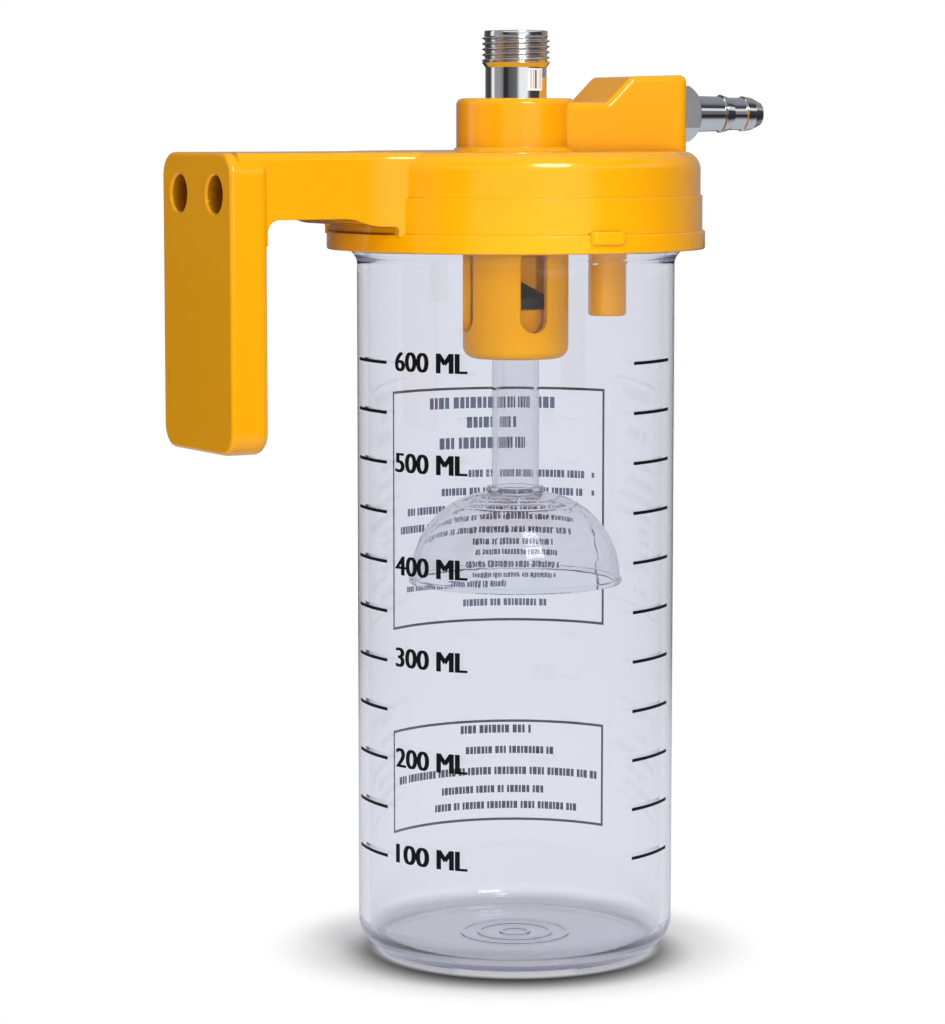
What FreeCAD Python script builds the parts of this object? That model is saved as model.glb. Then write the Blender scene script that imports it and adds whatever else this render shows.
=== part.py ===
import FreeCAD, Part
import math
import os

# Suction jar for a hospital ward: a clear 600 mL jar under a one-piece yellow lid that hangs on a wall
# bracket, with a float valve that shuts the vacuum port when the jar is full.
# Sizes are millimetres and degrees. Z is the jar's axis and z = 0 is the table under its feet.
# The hanging arm points along -X. The hose barb points along +X, turned by inlet_turn.

V = FreeCAD.Vector
UP = V(0, 0, 1)
ORIGIN = V(0, 0, 0)

# Clearances
face_gap = 0.05
running_gap = 0.3
thread_gap = 0.1
seal_gap = 0.3

# A corner rounded by less than this is drawn as a straight bevel
small_round = 0.9
bevel_share = 0.7

# How far a cut runs past the face it opens, and how near two lengths count as equal
overrun = 1.0
tolerance = 0.001

# Jar
jar_height = 193.0
jar_bore_r = 36.4
jar_wall = 2.6
jar_floor = 2.8
jar_corner_r = 7.5
foot_height = 0.8
foot_r = 33.0
foot_width = 2.6
foot_count = 3
foot_span = 68.0
foot_turn = 60.0
floor_ring_radii = (4.0, 9.5, 13.7)
floor_ring_width = 0.9
floor_ring_height = 0.4
neck_widen = 2.5
neck_height = 21.1
neck_rise = 3.2
rim_round = 0.8

# Bayonet closure
lug_count = 3
lug_reach = 1.5
jar_lug_height = 2.5
jar_lug_span = 44.0
jar_lug_drop = 9.0
lid_lug_height = 2.6
lid_lug_span = 40.0
twist_travel = 55.0
stop_gap_deg = 0.5

# Gasket
gasket_height = 2.4
gasket_bead = 0.5

# Lid skirt and top
lid_top_wall = 2.6
skirt_height = 23.7
skirt_wall = 1.9
flange_height = 4.5
flange_step = 0.7
flange_round = 0.42
band_height = 8.6
band_step = 0.5
shoulder_r = 4.5
step_round = 0.3
plug_wall = 2.0
plug_gap = 0.5
plug_height = 9.5
plug_round_share = 0.4
tab_turn = 87.8
tab_width = 9.2
tab_height = 3.2
tab_reach = 1.2
tab_lift = 2.1
tab_round = 1.3
tab_edge_round = 0.55

# Central boss and hub
boss_r = 14.6
boss_height = 12.8
boss_wall = 4.0
boss_round = 1.6
boss_foot_round = 1.0
hub_r = 13.6
hub_drop = 19.5
hub_bore_r = 10.6
hub_inner_r = 9.0

# Inlet block and spout
inlet_turn = -6.5
block_width = 24.0
block_reach = 41.3
block_low = 11.8
block_high = 18.1
block_rise = 0.5
slope_start = 19.4
slope_end = 25.8
block_corner_r = 2.4
block_end_r = 2.2
block_edge_r = 2.0
block_crown_r = 1.5
barb_drop = 9.0
channel_r = 2.6
spout_offset = 25.1
spout_r = 4.9
spout_drop = 38.1
spout_round = 0.6

# Hanging arm and plate
arm_width = 36.0
arm_depth = 15.5
arm_sag = 1.9
arm_sag_start = 54.2
arm_sag_end = 48.8
arm_sag_r = 14.0
arm_flare = 6.8
arm_flare_start = 51.0
arm_root = 32.0
arm_leg_step = 0.7
arm_edge_r = 2.0
arm_corner_r = 3.0
arm_foot_r = 1.0
arm_bury_share = 0.75
plate_reach = 86.2
plate_thickness = 9.8
plate_width = 38.0
plate_height = 70.0
plate_corner_r = 5.5
plate_front_round = 1.0
plate_back_round = 2.2
peg_hole_r = 4.4
peg_hole_spacing = 19.4
peg_hole_drop = 9.6
peg_hole_depth = 30.0
peg_hole_round = 0.5

# Vacuum stud, its nut and seal
stud_shank_r = 7.5
stud_shank_height = 7.6
stud_cone_height = 1.1
stud_thread_r = 8.33
stud_thread_height = 7.7
stud_chamfer = 1.0
stud_bore_r = 4.2
stud_tail_r = 5.8
stud_tail_end = 1.0
nut_across_flats = 14.0
nut_height = 4.4
washer_width = 1.3
washer_height = 1.2

# Hose barb
hex_across_flats = 12.0
hex_height = 6.4
hex_chamfer_deg = 30.0
barb_root_r = 4.5
barb_neck_r = 4.3
barb_bore_r = 2.2
ridge_one_at = 7.95
ridge_one_r = 4.75
ridge_one_end = 10.4
ridge_one_end_r = 4.05
ridge_two_at = 14.05
ridge_two_r = 4.4
ridge_two_end = 16.5
ridge_two_end_r = 4.0
barb_length = 18.9
barb_tip_r = 2.85
barb_step = 0.3
barb_tail_r = 4.0
barb_tail_length = 8.0

# Float cage and valve seat
cage_r = 13.0
cage_height = 28.5
cage_wall = 2.2
cage_floor = 2.8
cage_corner_r = 3.0
cage_collar_height = 4.0
cage_collar_bore_r = 8.9
cage_slot_count = 4
cage_slot_width = 6.9
cage_slot_turn = -99.0
cage_slot_sill = 3.9
cage_slot_edge = 0.7
cage_top_ring = 2.4
seat_height = 3.0
seat_bore_r = 3.5
seat_lip = 0.5

# Float: plunger, seal, stem and dome
plunger_r = 7.0
plunger_flange_r = 8.6
plunger_flange_height = 1.8
plunger_height = 9.3
plunger_socket_depth = 6.5
plunger_peg_r = 2.2
plunger_peg_height = 2.6
plunger_flange_round = 0.4
plunger_top_round = 0.5
seal_r = 8.0
seal_rim_height = 2.8
seal_cone_height = 4.5
seal_tip_r = 0.8
seal_rim_round = 0.3
stem_r = 5.83
stem_wall = 1.1
stem_flange_r = 7.0
stem_flange_height = 1.6
stem_flange_round = 0.3
stem_spigot = 2.4
dome_r = 25.9
dome_arc_r = 21.0
dome_wall = 1.2
dome_lip_reach = 0.5
dome_lip_height = 1.3
dome_lip_round = 0.3
dome_seat_room = 0.3
dome_ring_radii = (10.5, 14.5)
dome_ring_r = 0.35
dome_drop = 33.25

# Places that follow from the sizes above
jar_r = jar_bore_r + jar_wall
jar_inside_z = foot_height + jar_floor
neck_bore_r = jar_bore_r + neck_widen
neck_r = neck_bore_r + jar_wall
neck_z = jar_height - neck_height
lug_r = neck_r + lug_reach
skirt_bore_r = lug_r + running_gap
lid_lug_r = neck_r + running_gap
lid_under_z = jar_height + gasket_height + 2 * face_gap
lid_top_z = lid_under_z + lid_top_wall
skirt_z = lid_top_z - skirt_height
upper_band_r = skirt_bore_r + skirt_wall
lower_band_r = upper_band_r + band_step
flange_r = lower_band_r + flange_step
flange_z = skirt_z + flange_height
band_z = flange_z + band_height
plug_r = neck_bore_r - plug_gap
jar_lug_top_z = jar_height - jar_lug_drop
jar_lug_z = jar_lug_top_z - jar_lug_height
lid_lug_top_z = jar_lug_z - running_gap
lid_lug_z = lid_lug_top_z - lid_lug_height
lid_lug_deg = 180 / lug_count
boss_top_z = lid_top_z + boss_height
boss_under_z = boss_top_z - boss_wall
hub_z = lid_under_z - hub_drop
seat_z = hub_z + cage_collar_height
hub_step_z = seat_z + seat_height
block_top_z = lid_top_z + block_high
barb_z = block_top_z - barb_drop
arm_under_z = lid_top_z - arm_depth
plate_z = lid_top_z - plate_height
peg_hole_z = lid_top_z - peg_hole_drop
cage_z = hub_z - cage_height
cage_bore_r = cage_r - cage_wall
cage_floor_z = cage_z + cage_floor
plunger_z = cage_floor_z + face_gap
plunger_top_z = plunger_z + plunger_height
stem_top_z = plunger_z + plunger_socket_depth
dome_top_z = cage_z - dome_drop
dome_seat_r = stem_flange_r + dome_seat_room
dome_centre_r = dome_r - dome_arc_r
dome_centre_z = dome_top_z - math.sqrt(dome_arc_r ** 2 - (dome_seat_r - dome_centre_r) ** 2)
dome_z = dome_centre_z - dome_lip_height
seal_rim_z = plunger_top_z + seal_rim_height
seal_top_z = seal_rim_z + seal_cone_height
seal_meet_z = seal_rim_z + seal_cone_height * (seal_r - seat_bore_r - seat_lip) / seal_r
float_travel = seat_z - seal_meet_z - seal_gap


def corner_arc(before, corner, after, radius):
    """Start, middle and end of the arc that rounds one corner of an outline."""
    to_before = (before - corner).normalize()
    to_after = (after - corner).normalize()
    half_angle = to_before.getAngle(to_after) / 2
    bisector = (to_before + to_after).normalize()
    start = corner + to_before * (radius / math.tan(half_angle))
    end = corner + to_after * (radius / math.tan(half_angle))
    centre = corner + bisector * (radius / math.sin(half_angle))
    return start, centre - bisector * radius, end


def outline(corners):
    """Closed face through corners given as (point, rounding radius).

    In place of the radius, a point bows the side that follows into an arc through that point.
    """
    pieces = []
    for index, (point, shape) in enumerate(corners):
        before = corners[index - 1][0]
        after = corners[(index + 1) % len(corners)][0]
        if isinstance(shape, FreeCAD.Vector):
            pieces.append((point, shape, after))
        elif shape >= small_round:
            pieces.append(corner_arc(before, point, after, shape))
        elif shape > 0:
            arc = corner_arc(before, point, after, shape * bevel_share)
            pieces.append((arc[0], arc[2]))
        else:
            pieces.append((point,))
    edges = []
    for index, piece in enumerate(pieces):
        if len(piece) == 3:
            edges.append(Part.Arc(piece[0], piece[1], piece[2]).toShape())
        elif len(piece) == 2:
            edges.append(Part.LineSegment(piece[0], piece[1]).toShape())
        following = pieces[(index + 1) % len(pieces)][0]
        if piece[-1].distanceToPoint(following) > tolerance:
            edges.append(Part.LineSegment(piece[-1], following).toShape())
    return Part.Face(Part.Wire(edges))


def turned(*corners):
    """Solid turned about Z from corners (radius, height, rounding or point of the arc that follows)."""
    points = []
    for corner in corners:
        shape = corner[2] if len(corner) > 2 else 0
        if isinstance(shape, tuple):
            shape = V(shape[0], 0, shape[1])
        points.append((V(corner[0], 0, corner[1]), shape))
    return outline(points).revolve(ORIGIN, UP, 360)


def disc(radius, low, high):
    return Part.makeCylinder(radius, high - low, V(0, 0, low))


def ring(outer, inner, low, high):
    return disc(outer, low, high).cut(disc(inner, low - overrun, high + overrun))


def sector(outer, inner, low, high, centre_deg, span_deg):
    """Ring segment centred on an angle about Z."""
    profile = turned_profile(outer, inner, low, high)
    body = profile.revolve(ORIGIN, UP, span_deg)
    return body.rotated(ORIGIN, UP, centre_deg - span_deg / 2)


def turned_profile(outer, inner, low, high):
    corners = [V(inner, 0, low), V(outer, 0, low), V(outer, 0, high), V(inner, 0, high)]
    return outline([(corner, 0) for corner in corners])


def slab(low, high, rounding=0):
    """Upright block between two corners, with rounded vertical edges."""
    plan = [(low.x, low.y), (high.x, low.y), (high.x, high.y), (low.x, high.y)]
    return outline([(V(x, y, low.z), rounding) for x, y in plan]).extrude(V(0, 0, high.z - low.z))


def hexagon_corner_r(across_flats):
    return across_flats / 2 / math.cos(math.radians(30))


def hexagon(across_flats, low, high):
    """Hexagonal prism with a corner on the +X axis."""
    first = V(hexagon_corner_r(across_flats), 0, low)
    corners = [FreeCAD.Rotation(UP, 60 * index).multVec(first) for index in range(6)]
    return outline([(corner, 0) for corner in corners]).extrude(V(0, 0, high - low))


def toward_inlet(shape):
    """Lays a shape that was made along +Z at the origin on the inlet's axis, starting at the block's end."""
    laid = shape.rotated(ORIGIN, V(0, 1, 0), 90).translated(V(block_reach, 0, barb_z))
    return laid.rotated(ORIGIN, UP, inlet_turn)


def around(shape, count, start_deg):
    """Copies of a shape evenly spaced about Z."""
    return [shape.rotated(ORIGIN, UP, start_deg + 360 * index / count) for index in range(count)]


def make_jar():
    outside = turned(
        (0, foot_height),
        (jar_r, foot_height, jar_corner_r),
        (jar_r, neck_z, neck_rise),
        (neck_r, neck_z + neck_rise, neck_rise / 2),
        (neck_r, jar_height, rim_round),
        (neck_bore_r, jar_height, rim_round),
        (neck_bore_r, neck_z + neck_rise, neck_rise / 2),
        (jar_bore_r, neck_z, neck_rise),
        (jar_bore_r, jar_inside_z, jar_corner_r - jar_wall),
        (0, jar_inside_z),
    )
    rings = []
    for ring_r in floor_ring_radii:
        low = jar_inside_z - floor_ring_height
        high = jar_inside_z + floor_ring_height
        rings.append(ring(ring_r, ring_r - floor_ring_width, low, high))
    foot_top = foot_height + jar_floor / 2
    foot = sector(foot_r + foot_width / 2, foot_r - foot_width / 2, 0, foot_top, 0, foot_span)
    feet = around(foot, foot_count, foot_turn)
    return outside.multiFuse(rings + feet + jar_lugs()).removeSplitter()


def jar_lugs():
    """Lugs round the neck, each with a stop at the end that the lid's lug turns to, clockwise from above."""
    root_r = neck_r - jar_wall / 2
    lug = sector(lug_r, root_r, jar_lug_z, jar_lug_top_z, 0, jar_lug_span)
    stop_start = lid_lug_deg - lid_lug_span / 2 - twist_travel - stop_gap_deg
    stop_span = stop_start + jar_lug_span / 2
    stop = sector(lug_r, root_r, lid_lug_z, jar_lug_top_z, stop_start - stop_span / 2, stop_span)
    return around(lug, lug_count, 0) + around(stop, lug_count, 0)


def make_jar_gasket():
    outer = skirt_bore_r - running_gap
    inner = plug_r + running_gap
    low = jar_height + face_gap
    high = low + gasket_height
    return turned((inner, low, gasket_bead), (outer, low, gasket_bead), (outer, high), (inner, high))


def skirt_shape():
    return turned(
        (0, skirt_z),
        (flange_r, skirt_z, flange_round),
        (flange_r, flange_z, flange_round),
        (lower_band_r, flange_z),
        (lower_band_r, band_z, step_round),
        (upper_band_r, band_z),
        (upper_band_r, lid_top_z, shoulder_r),
        (0, lid_top_z),
    )


def boss_shape():
    return turned(
        (0, lid_under_z),
        (boss_r + boss_foot_round, lid_under_z),
        (boss_r + boss_foot_round, lid_top_z),
        (boss_r, lid_top_z + boss_foot_round),
        (boss_r, boss_top_z, boss_round),
        (0, boss_top_z),
    )


def block_shape():
    """Inlet block: a stepped wedge that grows out of the boss."""
    side = outline([
        (V(0, -block_width / 2, lid_under_z), 0),
        (V(block_reach, -block_width / 2, lid_under_z), 0),
        (V(block_reach, -block_width / 2, block_top_z + block_rise), block_end_r),
        (V(slope_end, -block_width / 2, block_top_z), block_edge_r),
        (V(slope_start, -block_width / 2, lid_top_z + block_low), block_edge_r),
        (V(0, -block_width / 2, lid_top_z + block_low), 0),
    ])
    wedge = side.extrude(V(0, block_width, 0))
    low = V(-boss_r, -block_width / 2, lid_under_z)
    high = V(block_reach, block_width / 2, boss_top_z + block_high)
    wedge = wedge.common(slab(low, high, block_corner_r))
    edges = [edge for edge in wedge.Edges if on_block_crown(edge)]
    return wedge.makeFillet(block_crown_r, edges).rotated(ORIGIN, UP, inlet_turn)


def on_block_crown(edge):
    """The long edges between the block's sides and its top, from the boss to the rounded end corners."""
    box = edge.BoundBox
    on_side = box.YLength < tolerance and abs(abs(box.Center.y) - block_width / 2) < tolerance
    return on_side and box.ZMin > lid_top_z + block_low - tolerance


def arm_side():
    """The arm seen along Y: its underside dips towards the skirt and a short leg stands on the flange."""
    band_x = -math.sqrt(lower_band_r ** 2 - (arm_width / 2) ** 2)
    leg_x = band_x - arm_leg_step
    inner_x = plate_thickness - plate_reach
    buried_x = inner_x - plate_thickness * arm_bury_share
    return outline([
        (V(-arm_root, 0, lid_top_z), 0),
        (V(buried_x, 0, lid_top_z), 0),
        (V(buried_x, 0, arm_under_z - 2 * arm_corner_r), 0),
        (V(inner_x, 0, arm_under_z - 2 * arm_corner_r), 0),
        (V(inner_x, 0, arm_under_z), arm_corner_r),
        (V(-arm_sag_start, 0, arm_under_z), arm_sag_r),
        (V(-arm_sag_end, 0, arm_under_z - arm_sag), arm_sag_r),
        (V(leg_x, 0, arm_under_z - arm_sag), arm_foot_r),
        (V(leg_x, 0, flange_z - flange_step), 0),
        (V(-arm_root, 0, flange_z - flange_step), 0),
    ])


def arm_plan():
    """The arm seen from above, flared where it meets the skirt."""
    half = arm_width / 2
    run = arm_flare_start - arm_root
    flare_r = (run ** 2 + arm_flare ** 2) / (2 * arm_flare)
    middle = math.asin(run / flare_r) / 2
    bow_x = flare_r * math.sin(middle) - arm_flare_start
    bow_y = half + flare_r * (1 - math.cos(middle))
    low = flange_z - flange_height
    return outline([
        (V(-plate_reach, -half, low), 0),
        (V(-arm_flare_start, -half, low), V(bow_x, -bow_y, low)),
        (V(-arm_root, -half - arm_flare, low), 0),
        (V(-arm_root, half + arm_flare, low), V(bow_x, bow_y, low)),
        (V(-arm_flare_start, half, low), 0),
        (V(-plate_reach, half, low), 0),
    ])


def arm_shape():
    """Arm from the hanging plate to the skirt, with rounded long edges on top."""
    half = arm_width / 2 + arm_flare
    side = arm_side().extrude(V(0, 2 * half, 0)).translated(V(0, -half, 0))
    arm = side.common(arm_plan().extrude(V(0, 0, plate_height)))
    top_edges = [edge for edge in arm.Edges if edge.BoundBox.ZMin > lid_top_z - tolerance]
    return arm.makeFillet(arm_edge_r, [edge for edge in top_edges if edge.BoundBox.XLength > tolerance])


def plate_shape():
    """Hanging plate: upright rounded slab, crisp at the front and softer at the back."""
    half = plate_width / 2
    face = outline([
        (V(-plate_reach, -half, plate_z), plate_corner_r),
        (V(-plate_reach, half, plate_z), plate_corner_r),
        (V(-plate_reach, half, lid_top_z), plate_corner_r),
        (V(-plate_reach, -half, lid_top_z), plate_corner_r),
    ])
    plate = face.extrude(V(plate_thickness, 0, 0))
    front = [edge for edge in plate.Edges if edge.BoundBox.XMax < -plate_reach + tolerance]
    plate = plate.makeFillet(plate_front_round, front)
    back = [edge for edge in plate.Edges if edge.BoundBox.XMin > plate_thickness - plate_reach - tolerance]
    return plate.makeFillet(plate_back_round, back)


def tab_shape():
    """Small alignment pad on the flange."""
    low = V(skirt_bore_r + skirt_wall / 2, -tab_width / 2, skirt_z + tab_lift)
    high = V(flange_r + tab_reach, tab_width / 2, skirt_z + tab_lift + tab_height)
    pad = slab(low, high, tab_round)
    rims = [edge for edge in pad.Edges if edge.BoundBox.ZLength < tolerance]
    return pad.makeFillet(tab_edge_round, rims)


def lid_lugs():
    """Lugs inside the skirt, standing between the jar's lugs before the lid is turned."""
    lug = sector(skirt_bore_r + skirt_wall / 2, lid_lug_r, lid_lug_z, lid_lug_top_z, 0, lid_lug_span)
    return around(lug, lug_count, lid_lug_deg)


def make_lid():
    """The lid moulding: cap, boss, inlet block, arm and plate outside; hub, plug and spout inside."""
    spout_z = lid_under_z - spout_drop
    cavity = disc(skirt_bore_r, skirt_z - overrun, lid_under_z)
    outside = skirt_shape().multiFuse([boss_shape(), block_shape(), arm_shape(), plate_shape()])
    outside = outside.multiFuse(around(tab_shape(), 2, tab_turn)).cut(cavity)
    hub = turned((0, hub_z), (hub_r, hub_z, step_round), (hub_r, lid_top_z), (0, lid_top_z))
    plug = turned(
        (plug_r - plug_wall, lid_under_z - plug_height, plug_wall * plug_round_share),
        (plug_r, lid_under_z - plug_height, plug_wall * plug_round_share),
        (plug_r, lid_top_z - lid_top_wall / 2),
        (plug_r - plug_wall, lid_top_z - lid_top_wall / 2),
    )
    spout = turned((0, spout_z), (spout_r, spout_z, spout_round), (spout_r, lid_top_z), (0, lid_top_z))
    spout = spout.translated(V(spout_offset, 0, 0)).rotated(ORIGIN, UP, inlet_turn)
    lid = outside.multiFuse([hub, plug, spout] + lid_lugs()).removeSplitter()
    return lid.cut(stud_bore()).cut(inlet_channel()).cut(peg_holes())


def washer_pocket_r(tail_r):
    """Pocket for the flat washer round a screwed tail."""
    return tail_r + 2 * thread_gap + washer_width


def stud_bore():
    """Stepped bore up through the hub and the boss."""
    return disc(hub_bore_r, hub_z - overrun, hub_step_z).multiFuse([
        disc(hub_inner_r, hub_step_z - overrun, boss_under_z),
        disc(stud_tail_r + thread_gap, boss_under_z - overrun, boss_top_z + overrun),
        disc(washer_pocket_r(stud_tail_r), boss_top_z - washer_height - thread_gap, boss_top_z + overrun),
    ])


def inlet_channel():
    """Channel in from the hose barb, turning down into the spout."""
    down = disc(channel_r, lid_under_z - spout_drop - overrun, barb_z).translated(V(spout_offset, 0, 0))
    across = disc(channel_r, spout_offset - block_reach, overrun)
    socket = disc(barb_tail_r + thread_gap, -barb_tail_length - thread_gap, overrun)
    seal_pocket = disc(washer_pocket_r(barb_tail_r), -washer_height - thread_gap, overrun)
    corner = Part.makeSphere(channel_r, V(0, 0, spout_offset - block_reach))
    inward = toward_inlet(across.multiFuse([socket, seal_pocket, corner]))
    return inward.fuse(down.rotated(ORIGIN, UP, inlet_turn))


def peg_holes():
    """Two deep round holes in the plate's outer face, softened at the mouth."""
    mouth = peg_hole_r + peg_hole_round
    hole = turned(
        (0, -overrun),
        (mouth, -overrun),
        (mouth, 0),
        (peg_hole_r, peg_hole_round),
        (peg_hole_r, peg_hole_depth, peg_hole_round),
        (0, peg_hole_depth),
    ).rotated(ORIGIN, V(0, 1, 0), 90)
    first = hole.translated(V(-plate_reach, -peg_hole_spacing / 2, peg_hole_z))
    second = hole.translated(V(-plate_reach, peg_hole_spacing / 2, peg_hole_z))
    return first.fuse(second)


def make_vacuum_stud():
    """Turned stud: shouldered shank, threaded head and a tail that passes through the boss."""
    shoulder_z = boss_top_z
    cone_z = shoulder_z + stud_shank_height
    head_z = cone_z + stud_cone_height
    top_z = head_z + stud_thread_height
    tail_z = boss_under_z - face_gap - nut_height - stud_tail_end
    return turned(
        (stud_bore_r, tail_z),
        (stud_tail_r, tail_z),
        (stud_tail_r, shoulder_z + face_gap),
        (stud_shank_r, shoulder_z + face_gap),
        (stud_shank_r, cone_z),
        (stud_thread_r, head_z),
        (stud_thread_r, top_z - stud_chamfer),
        (stud_thread_r - stud_chamfer, top_z),
        (stud_bore_r + stud_chamfer / 2, top_z),
        (stud_bore_r, top_z - stud_chamfer / 2),
    )


def make_stud_nut():
    high = boss_under_z - face_gap
    low = high - nut_height
    corner_r = hexagon_corner_r(nut_across_flats)
    chamfered = turned(
        (0, low),
        (nut_across_flats / 2, low),
        (corner_r, low + (corner_r - nut_across_flats / 2) * math.tan(math.radians(hex_chamfer_deg))),
        (corner_r, high),
        (0, high),
    )
    bore = disc(stud_tail_r + face_gap, low - overrun, high + overrun)
    return hexagon(nut_across_flats, low, high).common(chamfered).cut(bore)


def make_stud_washer():
    """Flat rubber washer sunk in the boss under the stud's shoulder."""
    inner = stud_tail_r + thread_gap
    return ring(inner + washer_width, inner, boss_top_z - washer_height, boss_top_z)


def make_hose_barb():
    """Hexagon, two-ridge hose tail and the threaded tail that goes into the block."""
    start = hex_height
    corner_r = hexagon_corner_r(hex_across_flats)
    chamfer = (corner_r - hex_across_flats / 2) * math.tan(math.radians(hex_chamfer_deg))
    chamfered = turned(
        (0, face_gap),
        (corner_r, face_gap),
        (corner_r, hex_height - chamfer),
        (hex_across_flats / 2, hex_height),
        (0, hex_height),
    )
    head = hexagon(hex_across_flats, face_gap, hex_height).common(chamfered)
    hose_tail = turned(
        (0, start - overrun),
        (barb_root_r, start - overrun),
        (barb_root_r, start),
        (barb_neck_r, start + ridge_one_at - barb_step),
        (ridge_one_r, start + ridge_one_at),
        (ridge_one_end_r, start + ridge_one_end),
        (ridge_one_end_r, start + ridge_two_at - barb_step),
        (ridge_two_r, start + ridge_two_at),
        (ridge_two_end_r, start + ridge_two_end),
        (barb_tip_r, start + barb_length),
        (0, start + barb_length),
    )
    tail = disc(barb_tail_r, -barb_tail_length, start - overrun)
    bore = disc(barb_bore_r, -barb_tail_length - overrun, start + barb_length + overrun)
    return toward_inlet(head.multiFuse([hose_tail, tail]).cut(bore))


def make_barb_washer():
    """Flat rubber washer sunk in the block under the hexagon."""
    inner = barb_tail_r + thread_gap
    return toward_inlet(ring(inner + washer_width, inner, -washer_height, 0))


def make_float_cage():
    """Cage that screws into the hub: collar above, four open slots round the chamber, holed floor."""
    shoulder_z = hub_z - face_gap
    body = turned(
        (stem_r + running_gap, cage_z),
        (cage_r, cage_z, cage_corner_r),
        (cage_r, shoulder_z),
        (hub_bore_r - thread_gap, shoulder_z),
        (hub_bore_r - thread_gap, seat_z - face_gap),
        (cage_collar_bore_r, seat_z - face_gap),
        (cage_collar_bore_r, shoulder_z - cage_top_ring / 2),
        (cage_bore_r, shoulder_z - cage_top_ring),
        (cage_bore_r, cage_floor_z),
        (stem_r + running_gap, cage_floor_z),
    )
    slot_low = cage_floor_z + cage_slot_sill
    slot_high = hub_z - cage_top_ring
    half = cage_slot_width / 2
    slot = outline([
        (V(0, -half, slot_low), half - tolerance),
        (V(0, half, slot_low), half - tolerance),
        (V(0, half, slot_high), cage_slot_edge),
        (V(0, -half, slot_high), cage_slot_edge),
    ]).extrude(V(cage_r + overrun, 0, 0))
    return body.cut(Part.makeCompound(around(slot, cage_slot_count, cage_slot_turn)))


def make_valve_seat():
    """Ring clamped between the cage's collar and the hub's step; its lip meets the rubber cone."""
    outer = hub_bore_r - thread_gap
    low = seat_z
    high = hub_step_z - face_gap
    return turned(
        (seat_bore_r + seat_lip, low),
        (outer, low),
        (outer, high),
        (seat_bore_r, high),
        (seat_bore_r, low + seat_lip),
    )


def make_valve_plunger():
    """Cap over the top of the stem, with a flange that rests on the cage's floor and a peg for the seal."""
    socket_r = stem_r + face_gap
    return turned(
        (socket_r, plunger_z),
        (plunger_flange_r, plunger_z, plunger_flange_round),
        (plunger_flange_r, plunger_z + plunger_flange_height, plunger_flange_round),
        (plunger_r, plunger_z + plunger_flange_height),
        (plunger_r, plunger_top_z, plunger_top_round),
        (plunger_peg_r, plunger_top_z),
        (plunger_peg_r, plunger_top_z + plunger_peg_height),
        (0, plunger_top_z + plunger_peg_height),
        (0, stem_top_z + face_gap),
        (socket_r, stem_top_z + face_gap),
    )


def make_valve_seal():
    """Rubber cone pushed over the plunger's peg."""
    low = plunger_top_z + face_gap
    peg_top_z = plunger_top_z + plunger_peg_height + face_gap
    tip_z = seal_top_z - seal_tip_r * seal_cone_height / seal_r
    return turned(
        (plunger_peg_r + face_gap, low),
        (seal_r, low, seal_rim_round),
        (seal_r, seal_rim_z),
        (seal_tip_r, tip_z),
        (0, tip_z),
        (0, peg_top_z),
        (plunger_peg_r + face_gap, peg_top_z),
    )


def make_float_stem():
    """Clear tube: plugged into the plunger above, flanged onto the dome below."""
    flange_low = dome_top_z + face_gap
    inner = stem_r - stem_wall
    return turned(
        (inner, dome_top_z - stem_spigot),
        (stem_r, dome_top_z - stem_spigot),
        (stem_r, flange_low),
        (stem_flange_r, flange_low, stem_flange_round),
        (stem_flange_r, flange_low + stem_flange_height, stem_flange_round),
        (stem_r, flange_low + stem_flange_height),
        (stem_r, stem_top_z),
        (inner, stem_top_z),
    )


def dome_point(radius, share):
    """Point on a dome arc of this radius, from its widest place (0) to straight above its centre (1)."""
    angle = math.radians(90 * share)
    return dome_centre_r + radius * math.cos(angle), dome_centre_z + radius * math.sin(angle)


def make_float_dome():
    """Thin inverted bowl with a flat seat for the stem's flange, a thick lip and fine rings inside."""
    hole_r = stem_r + face_gap
    inner_arc_r = dome_arc_r - dome_wall
    under_seat_z = dome_top_z - dome_wall
    inner_seat_r = dome_centre_r + math.sqrt(inner_arc_r ** 2 - (under_seat_z - dome_centre_z) ** 2)
    bowl = turned(
        (hole_r, dome_top_z),
        (dome_seat_r, dome_top_z, dome_point(dome_arc_r, 0.5)),
        (dome_r, dome_centre_z),
        (dome_r + dome_lip_reach, dome_centre_z, dome_lip_round),
        (dome_r + dome_lip_reach, dome_z, dome_lip_round),
        (dome_r - dome_wall, dome_z),
        (dome_r - dome_wall, dome_centre_z, dome_point(inner_arc_r, 0.5)),
        (inner_seat_r, under_seat_z),
        (hole_r, under_seat_z),
    )
    rings = []
    for ring_r in dome_ring_radii:
        under_z = dome_centre_z + math.sqrt(inner_arc_r ** 2 - (ring_r - dome_centre_r) ** 2)
        low = under_z - dome_ring_r
        high = under_z + dome_ring_r
        rings.append(ring(ring_r + dome_ring_r, ring_r - dome_ring_r, low, high))
    return bowl.multiFuse(rings)


NODES = {
    "jar": make_jar,
    "jar_gasket": make_jar_gasket,
    "lid": make_lid,
    "vacuum_stud": make_vacuum_stud,
    "stud_nut": make_stud_nut,
    "stud_washer": make_stud_washer,
    "hose_barb": make_hose_barb,
    "barb_washer": make_barb_washer,
    "float_cage": make_float_cage,
    "valve_seat": make_valve_seat,
    "valve_plunger": make_valve_plunger,
    "valve_seal": make_valve_seal,
    "float_stem": make_float_stem,
    "float_dome": make_float_dome,
}


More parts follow.
